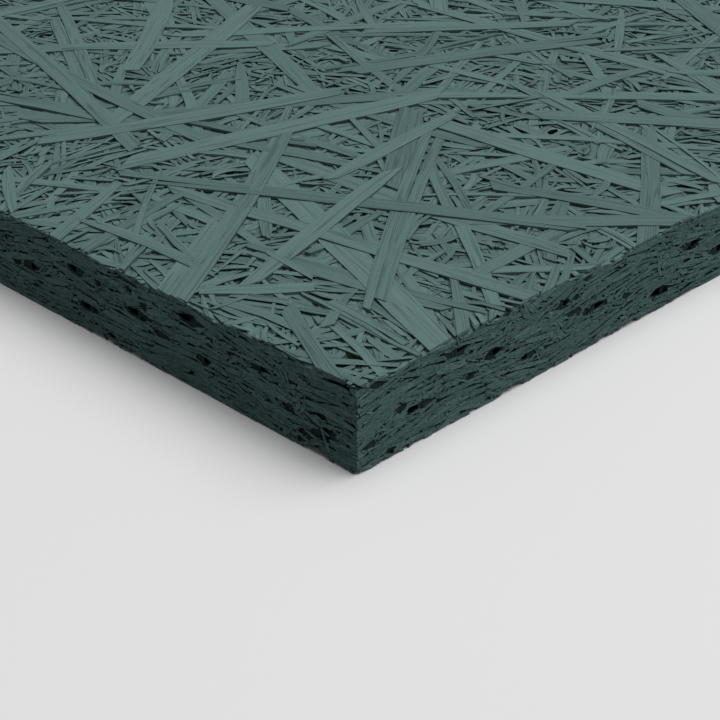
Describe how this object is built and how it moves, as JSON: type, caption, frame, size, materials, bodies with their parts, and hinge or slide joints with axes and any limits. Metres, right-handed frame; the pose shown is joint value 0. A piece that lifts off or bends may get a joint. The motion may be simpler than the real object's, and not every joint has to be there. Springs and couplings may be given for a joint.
{
  "type": "wood wool board",
  "caption": "Square-edged flat board pressed from long wood strands and cement, painted, laid flat; lines walls and ceilings to absorb sound.",
  "frame": {"origin": "middle of the back face, which lies on the floor", "axes": "+Z out of the strand face, through the thickness; X and Y along the sawn edges"},
  "size_m": [0.6, 0.6, 0.015],
  "materials": {
    "painted_wood_wool": "matt blue-green paint sprayed on bare wood strands"
  },
  "bodies": {
    "root": {"wood_wool_board": "painted_wood_wool"}
  },
  "joints": []
}
